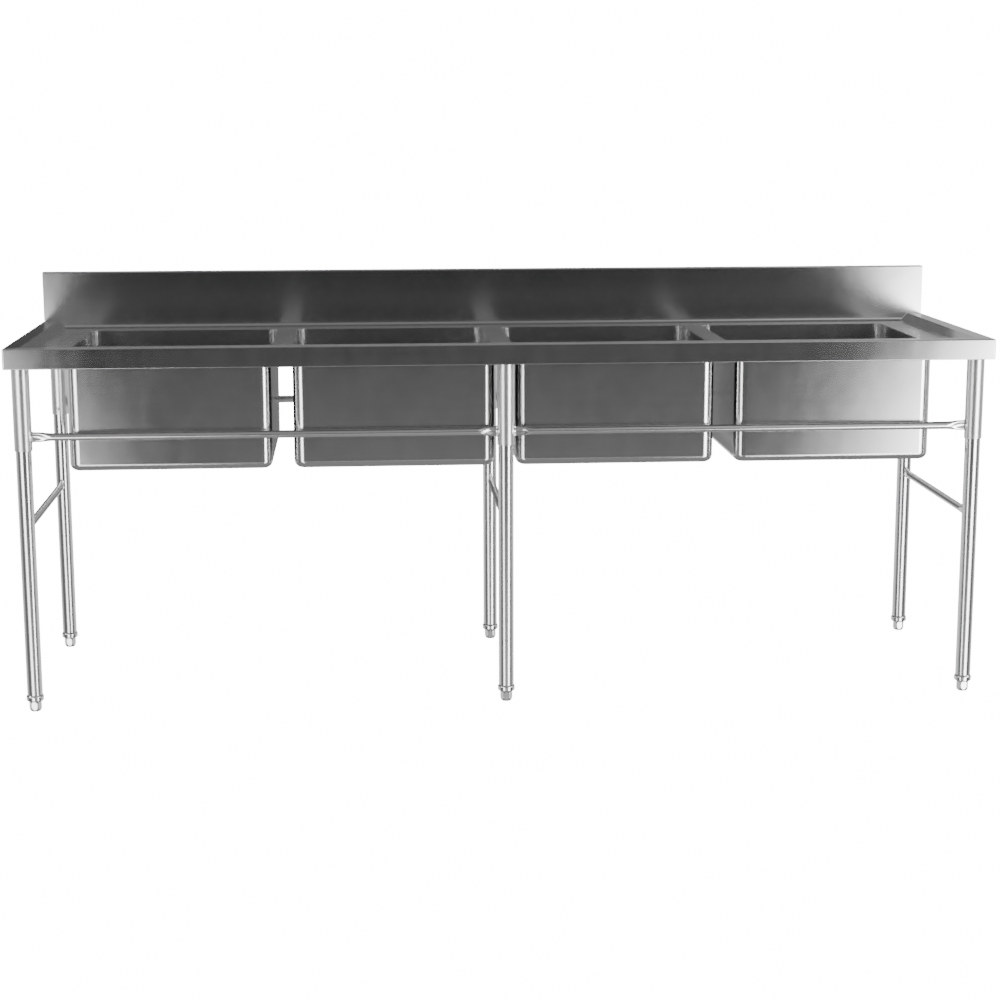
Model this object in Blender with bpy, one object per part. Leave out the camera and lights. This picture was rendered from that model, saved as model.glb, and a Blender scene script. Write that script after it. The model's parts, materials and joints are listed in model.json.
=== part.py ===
"""A four-bowl commercial sink in folded stainless steel, on six tube legs with adjustable feet.

Metres, +Z up, +X along the sink, +Y towards the wall. The origin is on the floor under the middle.
"""

import math

import bmesh
import bpy
from mathutils import Matrix, Vector

# Overall size
LENGTH = 2.400
DEPTH = 0.700
RIM_HEIGHT = 0.905
SPLASH_RISE = 0.130
SHEET = 0.0012
GAP = 0.0003

# Raised edge and apron, measured inwards from the outer edge and down from the rim
APRON_HEIGHT = 0.050
HEM_WIDTH = 0.009
BEND_RADIUS = 0.003
RIM_WIDTH = 0.039
SLOPE_RUN = 0.019
DECK_DROP = 0.020

# Backsplash
SPLASH_DEPTH = 0.030
SPLASH_RETURN = 0.030
COVE_RADIUS = 0.008

# Bowls, outside sizes
BOWL_COUNT = 4
BOWL_WIDTH = 0.495
BOWL_LENGTH = 0.525
BOWL_PITCH = 0.545
BOWL_FRONT = 0.069
BOWL_UNDERSIDE = 0.595
BOWL_CORNER = 0.028
BOWL_BASE_RADIUS = 0.018
BOWL_FLANGE = 0.005
BOWL_FALL = 0.004

# Channel under the deck's middle, its ends measured from the middle legs
CHANNEL_HALF_WIDTH = 0.018
CHANNEL_DEPTH = 0.022
CHANNEL_SHEET = 0.0018
CHANNEL_FRONT_SPACE = 0.060
CHANNEL_REAR_SPACE = 0.090

# Waste fittings
DRAIN_SETBACK = 0.055
DRAIN_SEAT_RADIUS = 0.058
DRAIN_SEAT_DEPTH = 0.002
DRAIN_HOLE_RADIUS = 0.0445
DRAIN_FLANGE_RADIUS = 0.056
DRAIN_FLANGE_HEIGHT = 0.0018
DRAIN_CUP_DEPTH = 0.034
DRAIN_CUP_WALL = 0.002
DRAIN_NECK_RADIUS = 0.0435
DRAIN_TAIL_RADIUS = 0.024
DRAIN_BORE_RADIUS = 0.0195
DRAIN_HEIGHT = 0.048
GASKET_HEIGHT = 0.003
LOCKNUT_HEIGHT = 0.009
LOCKNUT_RADIUS = 0.053
LOCKNUT_GRIP = 0.95
BASKET_CLEARANCE = 0.0006
BASKET_LIFT = 0.008
BASKET_WALL = 0.0012
BASKET_TAPER = 0.004
DRAIN_SIDES = 16

# Stand
LEG_INSET = 0.032
FRONT_LEG_SETBACK = 0.056
REAR_LEG_SETBACK = 0.671
LEG_RADIUS = 0.019
LEG_WALL = 0.0012
TUBE_SIDES = 20
SOCKET_RADIUS = 0.0215
SOCKET_BOTTOM = 0.652
SCREW_RADIUS = 0.003
SCREW_HEIGHT = SOCKET_BOTTOM + 0.016
BOSS_RADIUS = 0.006
BOSS_HEIGHT = 0.003

# Plates that weld the sockets to the deck, measured from each leg's axis
PLATE_HEIGHT = 0.003
PLATE_INBOARD = 0.083
PLATE_OUTBOARD = 0.022
PLATE_MIDDLE = 0.0195
PLATE_ENDS = {"front": (-0.041, 0.048), "rear": (-0.085, 0.024)}

# Rails
RAIL_RADIUS = 0.0095
RAIL_WALL = 0.0012
LONG_RAIL_HEIGHT = 0.685
SIDE_RAIL_HEIGHT = 0.460
RAIL_END_HEIGHT = 0.025
RAIL_END_THICKNESS = 0.0085
RAIL_FLARE = 0.045

# Feet
FOOT_HEIGHT = 0.026
FOOT_FLATS = 0.0275
FOOT_SOLE_RADIUS = 0.010
COLLAR_RADIUS = 0.0215
COLLAR_HEIGHT = 0.016
PLUG_HEIGHT = 0.026
STUD_RADIUS = 0.006
STUD_HEIGHT = 0.045

FRONT = -DEPTH / 2
REAR = DEPTH / 2
DECK_HEIGHT = RIM_HEIGHT - DECK_DROP
DECK_UNDERSIDE = DECK_HEIGHT - SHEET
SPLASH_FACE = REAR - SPLASH_DEPTH
SPLASH_FOOT = SPLASH_FACE - COVE_RADIUS - 0.004
INNER_EDGE = RIM_WIDTH + SLOPE_RUN
BOWL_Y = FRONT + BOWL_FRONT + BOWL_LENGTH / 2
DRAIN_Y = BOWL_Y + DRAIN_SETBACK
BOWL_XS = [(i - (BOWL_COUNT - 1) / 2) * BOWL_PITCH for i in range(BOWL_COUNT)]
BOWL_BASE = BOWL_UNDERSIDE + SHEET
DRAIN_SEAT = BOWL_BASE - BOWL_FALL - DRAIN_SEAT_DEPTH
LEG_XS = {"left": -LENGTH / 2 + LEG_INSET, "middle": 0.0, "right": LENGTH / 2 - LEG_INSET}
LEG_YS = {"front": FRONT + FRONT_LEG_SETBACK, "rear": FRONT + REAR_LEG_SETBACK}
PLATE_TOP = DECK_UNDERSIDE - GAP
LEG_BOTTOM = FOOT_HEIGHT + GAP + COLLAR_HEIGHT + GAP


# ---------------------------------------------------------------- helpers

def clear_scene():
    for obj in list(bpy.data.objects):
        bpy.data.objects.remove(obj, do_unlink=True)


def make_material(name, colour, metallic, roughness):
    material = bpy.data.materials.new(name)
    material.use_nodes = True
    shader = material.node_tree.nodes["Principled BSDF"]
    shader.inputs["Base Color"].default_value = (*colour, 1.0)
    shader.inputs["Metallic"].default_value = metallic
    shader.inputs["Roughness"].default_value = roughness
    return material


def add_object(name, bm, material, location=(0, 0, 0)):
    """A named object from a bmesh, with its normals facing out and sharp edges kept."""
    bmesh.ops.recalc_face_normals(bm, faces=bm.faces)
    mesh = bpy.data.meshes.new(name)
    bm.to_mesh(mesh)
    bm.free()
    obj = bpy.data.objects.new(name, mesh)
    obj.location = location
    bpy.context.scene.collection.objects.link(obj)
    finish_object(obj, material)
    return obj


def finish_object(obj, material):
    obj.data.materials.clear()
    obj.data.materials.append(material)
    obj.data.shade_smooth()
    obj.data.set_sharp_from_angle(angle=math.radians(35))


def copy_object(source, name, location, turn=0.0):
    """A repeated piece: its own object, sharing the mesh."""
    obj = bpy.data.objects.new(name, source.data)
    obj.location = location
    obj.rotation_euler.z = turn
    for modifier in source.modifiers:
        if modifier.type == "SOLIDIFY":
            thicken(obj, modifier.thickness)
    bpy.context.scene.collection.objects.link(obj)
    return obj


def thicken(obj, thickness):
    """Gives a folded sheet its thickness, behind the drawn face."""
    solidify = obj.modifiers.new("sheet", "SOLIDIFY")
    solidify.thickness = thickness
    solidify.offset = -1
    solidify.use_even_offset = True
    solidify.use_quality_normals = True


def add_sheet(name, bm, outside, material, location=(0, 0, 0), thickness=SHEET):
    """A folded sheet. Its widest face across the direction called outside shows that way."""
    bmesh.ops.recalc_face_normals(bm, faces=bm.faces)
    outside = Vector(outside)
    widest = max(bm.faces, key=lambda face: face.calc_area() * abs(face.normal.dot(outside)))
    if widest.normal.dot(outside) < 0:
        bmesh.ops.reverse_faces(bm, faces=bm.faces)
    mesh = bpy.data.meshes.new(name)
    bm.to_mesh(mesh)
    bm.free()
    obj = bpy.data.objects.new(name, mesh)
    obj.location = location
    bpy.context.scene.collection.objects.link(obj)
    thicken(obj, thickness)
    finish_object(obj, material)
    return obj


def boolean(obj, other, operation):
    """Joins or cuts one object with another, then drops the other."""
    modifier = obj.modifiers.new("boolean", "BOOLEAN")
    modifier.operation = operation
    modifier.solver = "EXACT"
    modifier.object = other
    graph = bpy.context.evaluated_depsgraph_get()
    mesh = bpy.data.meshes.new_from_object(obj.evaluated_get(graph))
    old = obj.data
    obj.modifiers.clear()
    obj.data = mesh
    bpy.data.meshes.remove(old)
    bpy.data.objects.remove(other, do_unlink=True)


def loop_verts(bm, points):
    return [bm.verts.new(point) for point in points]


def join_loops(bm, first, second, closed=True):
    """A strip of faces between two rows of the same length."""
    count = len(first)
    for i in range(count if closed else count - 1):
        j = (i + 1) % count
        bm.faces.new((first[i], first[j], second[j], second[i]))


def revolve(profile, sides):
    """A closed body of revolution about Z. A profile that starts and ends on the axis is solid."""
    bm = bmesh.new()
    rings = []
    for radius, height in profile:
        if radius == 0:
            rings.append([bm.verts.new((0, 0, height))])
            continue
        turns = [2 * math.pi * i / sides for i in range(sides)]
        rings.append(loop_verts(bm, [(radius * math.cos(t), radius * math.sin(t), height) for t in turns]))
    pairs = list(zip(rings, rings[1:]))
    if profile[0][0] != 0:
        pairs.append((rings[-1], rings[0]))
    for first, second in pairs:
        if len(first) == 1 or len(second) == 1:
            tip, ring = (first[0], second) if len(first) == 1 else (second[0], first)
            for i in range(sides):
                bm.faces.new((tip, ring[i], ring[(i + 1) % sides]))
        else:
            join_loops(bm, first, second)
    return bm


def box(x0, x1, y0, y1, z0, z1):
    bm = bmesh.new()
    size = Matrix.Diagonal((x1 - x0, y1 - y0, z1 - z0, 1))
    centre = Matrix.Translation(((x0 + x1) / 2, (y0 + y1) / 2, (z0 + z1) / 2))
    bmesh.ops.create_cube(bm, size=1, matrix=centre @ size)
    return bm


def rounded_rectangle(half_x, half_y, radius, corner_steps):
    """Points round a rectangle with round corners, each side's middle included, from +X anticlockwise."""
    points = []
    for corner in range(4):
        start = corner * math.pi / 2
        along_x, along_y = math.cos(start), math.sin(start)
        points.append((half_x * along_x, half_y * along_y))
        sign_x = 1 if corner in (0, 3) else -1
        sign_y = 1 if corner in (0, 1) else -1
        for step in range(corner_steps + 1):
            turn = start + math.pi / 2 * step / corner_steps
            points.append((
                sign_x * (half_x - radius) + radius * math.cos(turn),
                sign_y * (half_y - radius) + radius * math.sin(turn),
            ))
    return points


# ---------------------------------------------------------------- top

def rim_profile():
    """(inset, height) of the folded edge from the apron's hem up, over and down to the deck."""
    bottom = RIM_HEIGHT - APRON_HEIGHT
    bend = BEND_RADIUS * (1 - math.sqrt(0.5))
    return [
        (HEM_WIDTH, bottom),
        (0.0, bottom),
        (0.0, RIM_HEIGHT - BEND_RADIUS),
        (bend, RIM_HEIGHT - bend),
        (BEND_RADIUS, RIM_HEIGHT),
        (RIM_WIDTH, RIM_HEIGHT),
        (INNER_EDGE, DECK_HEIGHT),
    ]


def rim_half_width(height):
    """Half the clear width between the two end rims at a height on their inner slopes."""
    share = (height - DECK_HEIGHT) / DECK_DROP
    return LENGTH / 2 - INNER_EDGE + SLOPE_RUN * share


def make_deck(material):
    """The top: a folded edge round three sides, mitred in front, and a flat deck with cut-outs."""
    bm = bmesh.new()
    half = LENGTH / 2
    foot = SPLASH_FOOT - GAP
    rows = []
    for inset, height in rim_profile():
        rows.append(loop_verts(bm, [
            (-half + inset, REAR, height),
            (-half + inset, foot, height),
            (-half + inset, FRONT + inset, height),
            (half - inset, FRONT + inset, height),
            (half - inset, foot, height),
            (half - inset, REAR, height),
        ]))
    for first, second in zip(rows, rows[1:]):
        join_loops(bm, first, second, closed=False)
    bm.faces.new(rows[-1][1:5])
    deck = add_sheet("deck_panel", bm, (0, 0, 1), material)
    for x in BOWL_XS:
        boolean(deck, add_object("cutter", bowl_prism(), material, (x, BOWL_Y, 0)), "DIFFERENCE")
    finish_object(deck, material)


def bowl_prism():
    """The bowl's inside outline as a solid that reaches through the deck."""
    bm = bmesh.new()
    outline = rounded_rectangle(BOWL_WIDTH / 2 - SHEET, BOWL_LENGTH / 2 - SHEET, BOWL_CORNER, 5)
    low = loop_verts(bm, [(x, y, DECK_HEIGHT - DECK_DROP / 2) for x, y in outline])
    high = loop_verts(bm, [(x, y, DECK_HEIGHT + DECK_DROP / 2) for x, y in outline])
    join_loops(bm, low, high)
    bm.faces.new(low)
    bm.faces.new(high)
    return bm


def make_backsplash(material):
    """The upstand: a coved foot, a plain face, a folded top, a rear return and two closed ends."""
    bm = bmesh.new()
    top = RIM_HEIGHT + SPLASH_RISE
    half = LENGTH / 2
    cove_steps = 4
    coved = [(SPLASH_FOOT, DECK_HEIGHT)]
    for step in range(cove_steps + 1):
        turn = math.pi / 2 * step / cove_steps
        coved.append((
            SPLASH_FACE - COVE_RADIUS * (1 - math.sin(turn)),
            DECK_HEIGHT + COVE_RADIUS * (1 - math.cos(turn)),
        ))
    rows = []
    for y, z in coved:
        width = rim_half_width(z) - SHEET
        rows.append(loop_verts(bm, [(-width, y, z), (width, y, z)]))
    shoulder = rim_half_width(RIM_HEIGHT) - SHEET
    columns = (-half, -shoulder, shoulder, half)
    sheet = [loop_verts(bm, [(x, SPLASH_FACE, RIM_HEIGHT + GAP) for x in columns])]
    for y, z in ((SPLASH_FACE, top), (REAR, top), (REAR, top - SPLASH_RETURN)):
        sheet.append(loop_verts(bm, [(x, y, z) for x in columns]))
    for first, second in zip(rows, rows[1:]):
        join_loops(bm, first, second, closed=False)
    join_loops(bm, rows[-1], sheet[0][1:3], closed=False)
    for first, second in zip(sheet, sheet[1:]):
        join_loops(bm, first, second, closed=False)
    for column, x in ((0, -half), (3, half)):
        heel = bm.verts.new((x, REAR, RIM_HEIGHT + GAP))
        bm.faces.new([row[column] for row in sheet] + [heel])
    add_sheet("backsplash", bm, (0, -1, 0), material)


def make_bowls(material):
    """Pressed bowls: a flange under the deck, straight walls, a round base edge and a fall to the waste."""
    steps = 3
    half_x = BOWL_WIDTH / 2 - SHEET
    half_y = BOWL_LENGTH / 2 - SHEET
    flange = SHEET + BOWL_FLANGE
    bm = bmesh.new()
    outlines = [
        (half_x + flange, half_y + flange, BOWL_CORNER + BOWL_FLANGE, PLATE_TOP),
        (half_x, half_y, BOWL_CORNER, PLATE_TOP),
    ]
    for step in range(steps + 1):
        turn = math.pi / 2 * step / steps
        inset = BOWL_BASE_RADIUS * (1 - math.cos(turn))
        height = BOWL_BASE + BOWL_BASE_RADIUS * (1 - math.sin(turn))
        outlines.append((half_x - inset, half_y - inset, BOWL_CORNER - inset, height))
    loops = []
    for size_x, size_y, radius, height in outlines:
        outline = rounded_rectangle(size_x, size_y, radius, steps)
        loops.append(loop_verts(bm, [(x, y, height) for x, y in outline]))
    count = len(loops[0])
    seat_slope = DRAIN_SEAT_RADIUS - DRAIN_SEAT_DEPTH / 2
    fall = BOWL_BASE - BOWL_FALL
    seat = ((DRAIN_SEAT_RADIUS, fall), (seat_slope, DRAIN_SEAT), (DRAIN_HOLE_RADIUS, DRAIN_SEAT))
    for radius, height in seat:
        turns = [2 * math.pi * i / count for i in range(count)]
        ring = [(radius * math.cos(t), DRAIN_SETBACK + radius * math.sin(t), height) for t in turns]
        loops.append(loop_verts(bm, ring))
    for first, second in zip(loops, loops[1:]):
        join_loops(bm, first, second)
    first = add_sheet("bowl_1", bm, (0, 0, 1), material, (BOWL_XS[0], BOWL_Y, 0))
    for number, x in enumerate(BOWL_XS[1:], start=2):
        copy_object(first, f"bowl_{number}", (x, BOWL_Y, 0))


def make_support_channel(material):
    """A folded channel against the deck's underside, between the two middle sockets."""
    low = PLATE_TOP - CHANNEL_DEPTH
    section = [
        (-CHANNEL_HALF_WIDTH, low),
        (-CHANNEL_HALF_WIDTH, PLATE_TOP),
        (CHANNEL_HALF_WIDTH, PLATE_TOP),
        (CHANNEL_HALF_WIDTH, low),
    ]
    bm = bmesh.new()
    ends = (LEG_YS["front"] + CHANNEL_FRONT_SPACE, LEG_YS["rear"] - CHANNEL_REAR_SPACE)
    front, rear = [loop_verts(bm, [(x, y, z) for x, z in section]) for y in ends]
    join_loops(bm, front, rear, closed=False)
    add_sheet("support_channel", bm, (0, 0, 1), material, thickness=CHANNEL_SHEET)


# ---------------------------------------------------------------- waste fittings

def make_drains(steel, rubber, brass):
    """Each bowl's waste: a flanged cup through the base, a washer, a ring nut and a lift-out basket."""
    sides = DRAIN_SIDES
    flange_top = DRAIN_SEAT + GAP + DRAIN_FLANGE_HEIGHT
    cup_floor = DRAIN_SEAT - DRAIN_CUP_DEPTH
    tail_end = DRAIN_SEAT - DRAIN_HEIGHT
    ledge = DRAIN_NECK_RADIUS - DRAIN_CUP_WALL
    body = revolve([
        (DRAIN_FLANGE_RADIUS, DRAIN_SEAT + GAP),
        (DRAIN_FLANGE_RADIUS - 0.001, flange_top),
        (ledge + 0.003, flange_top),
        (ledge, flange_top - 0.003),
        (ledge, cup_floor + 0.006),
        (DRAIN_TAIL_RADIUS, cup_floor),
        (DRAIN_BORE_RADIUS, cup_floor),
        (DRAIN_BORE_RADIUS, tail_end),
        (DRAIN_TAIL_RADIUS, tail_end),
        (DRAIN_TAIL_RADIUS, cup_floor - 0.002),
        (DRAIN_NECK_RADIUS, cup_floor + 0.004),
        (DRAIN_NECK_RADIUS, DRAIN_SEAT + GAP),
    ], sides)
    gasket_top = DRAIN_SEAT - SHEET - GAP
    nut_top = gasket_top - GASKET_HEIGHT - GAP
    inside = DRAIN_NECK_RADIUS + GAP
    outside = LOCKNUT_RADIUS + 0.001
    gasket = revolve(ring_profile(inside, outside, gasket_top - GASKET_HEIGHT, gasket_top), sides)
    nut = locknut(inside, nut_top, sides)
    basket = strainer(ledge - BASKET_CLEARANCE, flange_top, cup_floor + BASKET_LIFT)
    shapes = (("drain_body", body, steel), ("drain_gasket", gasket, rubber),
              ("drain_locknut", nut, brass), ("strainer_basket", basket, steel))
    for name, shape, material in shapes:
        first = add_object(f"{name}_1", shape, material, (BOWL_XS[0], DRAIN_Y, 0))
        for number, x in enumerate(BOWL_XS[1:], start=2):
            copy_object(first, f"{name}_{number}", (x, DRAIN_Y, 0))


def ring_profile(inner, outer, low, high):
    return [(inner, low), (inner, high), (outer, high), (outer, low)]


def locknut(inside, top, sides):
    """A ring nut whose outer wall is scalloped for the fitter's grip."""
    bm = revolve(ring_profile(inside, LOCKNUT_RADIUS, top - LOCKNUT_HEIGHT, top), sides)
    middle = (inside + LOCKNUT_RADIUS) / 2
    grip = [v for v in bm.verts if v.co.to_2d().length > middle]
    for vert in grip:
        number = round(math.atan2(vert.co.y, vert.co.x) / (2 * math.pi / sides))
        if number % 2:
            vert.co.x *= LOCKNUT_GRIP
            vert.co.y *= LOCKNUT_GRIP
    return bm


def strainer(outer, rim_top, floor):
    """A shallow basket that hangs by its rim in the waste's mouth, with a knob to lift it by."""
    inner = outer - BASKET_WALL
    return revolve([
        (0, floor),
        (outer - BASKET_TAPER, floor),
        (outer, rim_top - 0.003),
        (outer + 0.0022, rim_top - 0.0008),
        (outer + 0.0022, rim_top + 0.0004),
        (inner, rim_top - 0.002),
        (inner - BASKET_TAPER, floor + BASKET_WALL),
        (0.004, floor + BASKET_WALL),
        (0.004, rim_top - 0.006),
        (0.009, rim_top - 0.004),
        (0.009, rim_top + 0.001),
        (0, rim_top + 0.003),
    ], DRAIN_SIDES)


# ---------------------------------------------------------------- stand

def make_sockets(material):
    """Sockets for the legs, each a tube under a plate welded to the deck, with a boss for its screw."""
    plates = {
        "left": (LEG_XS["left"] - PLATE_OUTBOARD, LEG_XS["left"] + PLATE_INBOARD),
        "middle": (-PLATE_MIDDLE, PLATE_MIDDLE),
        "right": (LEG_XS["right"] - PLATE_INBOARD, LEG_XS["right"] + PLATE_OUTBOARD),
    }
    for side, x in LEG_XS.items():
        for end, y in LEG_YS.items():
            near, far = PLATE_ENDS[end]
            plate = box(*plates[side], y + near, y + far, PLATE_TOP - PLATE_HEIGHT, PLATE_TOP)
            make_socket(f"leg_socket_{end}_{side}", x, y, plate, material)


def make_socket(name, x, y, plate, material):
    tube_top = PLATE_TOP - PLATE_HEIGHT
    overlap = 0.001
    socket = add_object(name, plate, material)
    profile = ring_profile(LEG_RADIUS + GAP, SOCKET_RADIUS, SOCKET_BOTTOM, tube_top + overlap)
    tube = add_object("tube", revolve(profile, TUBE_SIDES), material, (x, y, 0))
    boolean(socket, tube, "UNION")
    turn = screw_turn(y)
    boss_shape = lying_cylinder(BOSS_RADIUS, SOCKET_RADIUS - overlap, SOCKET_RADIUS + BOSS_HEIGHT)
    boss = add_object("boss", boss_shape, material)
    place_boss(boss, x, y, turn)
    boolean(socket, boss, "UNION")
    hole_shape = lying_cylinder(SCREW_RADIUS + GAP, LEG_RADIUS - LEG_WALL, SOCKET_RADIUS + 2 * BOSS_HEIGHT)
    hole = add_object("hole", hole_shape, material)
    place_boss(hole, x, y, turn)
    boolean(socket, hole, "DIFFERENCE")
    finish_object(socket, material)


def lie_down(bm):
    """Turns a shape's Z axis to -Y."""
    bmesh.ops.rotate(bm, verts=bm.verts, matrix=Matrix.Rotation(math.radians(90), 3, "X"))
    return bm


def lying_cylinder(radius, near, far):
    return lie_down(revolve([(0, near), (radius, near), (radius, far), (0, far)], 12))


def screw_turn(y):
    """Screws face the middle of the sink, where a hand reaches them from below."""
    return math.pi if y < 0 else 0.0


def place_boss(obj, x, y, turn):
    obj.location = (x, y, SCREW_HEIGHT)
    obj.rotation_euler.z = turn


def make_socket_screws(material):
    """Grub screws with a hexagon recess, one in each socket's boss."""
    near = LEG_RADIUS + GAP
    far = SOCKET_RADIUS + 0.0055
    recess = 0.0015
    bm = lie_down(revolve([
        (0, near),
        (SCREW_RADIUS, near),
        (SCREW_RADIUS, far),
        (recess, far),
        (recess, far - 0.003),
        (0, far - 0.003),
    ], 12))
    first = None
    for side, x in LEG_XS.items():
        for end, y in LEG_YS.items():
            name = f"socket_screw_{end}_{side}"
            place = (x, y, SCREW_HEIGHT)
            if first is None:
                first = add_object(name, bm, material, place)
                first.rotation_euler.z = screw_turn(y)
            else:
                copy_object(first, name, place, screw_turn(y))


def make_legs(tube_material, insert_material, foot_material):
    """Tube legs, each with a threaded collar in its lower end and a bullet foot that winds up and down."""
    top = PLATE_TOP - PLATE_HEIGHT - GAP
    leg = revolve(ring_profile(LEG_RADIUS - LEG_WALL, LEG_RADIUS, LEG_BOTTOM, top), TUBE_SIDES)
    bore = STUD_RADIUS + GAP
    collar_low = FOOT_HEIGHT + GAP
    shoulder = collar_low + COLLAR_HEIGHT
    plug = LEG_RADIUS - LEG_WALL - GAP
    insert = revolve([
        (bore, collar_low),
        (COLLAR_RADIUS - 0.005, collar_low),
        (COLLAR_RADIUS, collar_low + 0.005),
        (COLLAR_RADIUS, shoulder - 0.004),
        (LEG_RADIUS, shoulder),
        (plug, shoulder),
        (plug, shoulder + PLUG_HEIGHT),
        (bore, shoulder + PLUG_HEIGHT),
    ], 16)
    shapes = (("leg", leg, tube_material), ("foot_insert", insert, insert_material),
              ("bullet_foot", bullet_foot(), foot_material))
    for kind, shape, material in shapes:
        first = None
        for side, x in LEG_XS.items():
            for end, y in LEG_YS.items():
                name = f"{kind}_{end}_{side}"
                if first is None:
                    first = add_object(name, shape, material, (x, y, 0))
                else:
                    copy_object(first, name, (x, y, 0))


def bullet_foot():
    """A hexagon bar with a domed lower end and a round stud, as one solid about Z."""
    sides = 12
    flat = FOOT_FLATS / 2
    corner = flat / math.cos(math.pi / 6)
    dome = 0.014
    rings = []
    for step in range(5):
        turn = math.pi / 2 * step / 4
        limit = FOOT_SOLE_RADIUS + (corner - FOOT_SOLE_RADIUS) * math.sin(turn)
        rings.append((limit, dome * (1 - math.cos(turn))))
    rings.append((corner, FOOT_HEIGHT - 0.003))
    rings.append((corner - 0.0025, FOOT_HEIGHT))
    bm = bmesh.new()
    loops = []
    for limit, height in rings:
        loop = []
        for i in range(sides):
            turn = 2 * math.pi * i / sides
            radius = min(limit, corner if i % 2 == 0 else flat)
            loop.append((radius * math.cos(turn), radius * math.sin(turn), height))
        loops.append(loop_verts(bm, loop))
    for height in (FOOT_HEIGHT, FOOT_HEIGHT + STUD_HEIGHT):
        turns = [2 * math.pi * i / sides for i in range(sides)]
        ring = [(STUD_RADIUS * math.cos(t), STUD_RADIUS * math.sin(t), height) for t in turns]
        loops.append(loop_verts(bm, ring))
    for first, second in zip(loops, loops[1:]):
        join_loops(bm, first, second)
    bm.faces.new(loops[0])
    bm.faces.new(loops[-1])
    return bm


def flattened_tube(length):
    """A thin tube along X whose two ends are pressed flat, so that they stand tall and narrow."""
    sides = 12
    stations = [(0.0, 1.0), (RAIL_FLARE * 0.45, 0.65), (RAIL_FLARE, 0.0)]
    stations += [(length - place, share) for place, share in reversed(stations)]
    bm = bmesh.new()
    rings = []
    for wall in (0.0, RAIL_WALL):
        for place, share in stations:
            tall = RAIL_RADIUS + (RAIL_END_HEIGHT / 2 - RAIL_RADIUS) * share - wall
            thick = RAIL_RADIUS + (RAIL_END_THICKNESS / 2 - RAIL_RADIUS) * share - wall
            turns = [2 * math.pi * i / sides for i in range(sides)]
            ring = [(place, thick * math.cos(t), tall * math.sin(t)) for t in turns]
            rings.append(loop_verts(bm, ring))
    outer, inner = rings[:len(stations)], rings[len(stations):]
    for skin in (outer, inner):
        for first, second in zip(skin, skin[1:]):
            join_loops(bm, first, second)
    join_loops(bm, outer[0], inner[0])
    join_loops(bm, outer[-1], inner[-1])
    return bm


def make_rails(material):
    """Long rails between the sockets and side rails between each front leg and the rear leg behind it."""
    reach = SOCKET_RADIUS + GAP
    long_length = LEG_XS["right"] - 2 * reach
    starts = {"left": LEG_XS["left"] + reach, "right": reach}
    first = None
    for side, x in starts.items():
        for end, y in LEG_YS.items():
            name = f"long_rail_{end}_{side}"
            place = (x, y, LONG_RAIL_HEIGHT)
            if first is None:
                first = add_object(name, flattened_tube(long_length), material, place)
            else:
                copy_object(first, name, place)
    reach = LEG_RADIUS + GAP
    side_length = LEG_YS["rear"] - LEG_YS["front"] - 2 * reach
    first = None
    for side, x in LEG_XS.items():
        name = f"side_rail_{side}"
        place = (x, LEG_YS["front"] + reach, SIDE_RAIL_HEIGHT)
        if first is None:
            first = add_object(name, flattened_tube(side_length), material, place)
            first.rotation_euler.z = math.pi / 2
        else:
            copy_object(first, name, place, math.pi / 2)


def main():
    clear_scene()
    brushed = make_material("brushed_stainless", (0.60, 0.60, 0.60), 1.0, 0.30)
    polished = make_material("polished_stainless", (0.72, 0.72, 0.72), 1.0, 0.16)
    rubber = make_material("black_rubber", (0.03, 0.03, 0.03), 0.0, 0.7)
    screw_steel = make_material("screw_steel", (0.35, 0.35, 0.36), 1.0, 0.4)
    nut_brass = make_material("plated_brass", (0.66, 0.64, 0.58), 1.0, 0.3)
    make_deck(brushed)
    make_backsplash(brushed)
    make_bowls(brushed)
    make_support_channel(brushed)
    make_drains(polished, rubber, nut_brass)
    make_sockets(polished)
    make_socket_screws(screw_steel)
    make_legs(polished, polished, polished)
    make_rails(polished)


main()
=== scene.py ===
import json
import math

import bmesh
import bpy
from mathutils import Matrix, Vector


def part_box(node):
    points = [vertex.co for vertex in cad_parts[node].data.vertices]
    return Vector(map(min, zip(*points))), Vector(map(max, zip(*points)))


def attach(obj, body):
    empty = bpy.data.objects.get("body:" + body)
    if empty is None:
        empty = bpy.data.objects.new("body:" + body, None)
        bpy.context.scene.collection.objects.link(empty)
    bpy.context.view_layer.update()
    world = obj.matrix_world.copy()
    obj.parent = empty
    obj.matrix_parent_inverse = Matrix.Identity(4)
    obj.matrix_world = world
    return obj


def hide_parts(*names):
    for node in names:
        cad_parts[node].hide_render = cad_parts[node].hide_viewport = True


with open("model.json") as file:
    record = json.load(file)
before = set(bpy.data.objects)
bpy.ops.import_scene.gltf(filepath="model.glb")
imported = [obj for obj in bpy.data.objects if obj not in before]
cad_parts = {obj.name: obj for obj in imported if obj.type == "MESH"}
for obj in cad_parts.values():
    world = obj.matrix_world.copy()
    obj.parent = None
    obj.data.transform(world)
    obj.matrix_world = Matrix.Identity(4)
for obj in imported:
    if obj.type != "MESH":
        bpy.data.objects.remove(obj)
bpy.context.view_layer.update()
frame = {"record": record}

RECORD = frame["record"]
BODY_OF = {node: body for body, nodes in RECORD["behaviour"]["bodies"].items() for node in nodes}

# Sizes read from the frame
DECK_LOW, DECK_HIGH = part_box("deck_panel")
SPLASH_LOW, SPLASH_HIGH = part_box("backsplash")
HALF_LENGTH = DECK_HIGH[0]
FRONT, REAR = DECK_LOW[1], DECK_HIGH[1]
RIM = DECK_HIGH[2]
APRON_BOTTOM = DECK_LOW[2]
SPLASH_TOP = SPLASH_HIGH[2]

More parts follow.
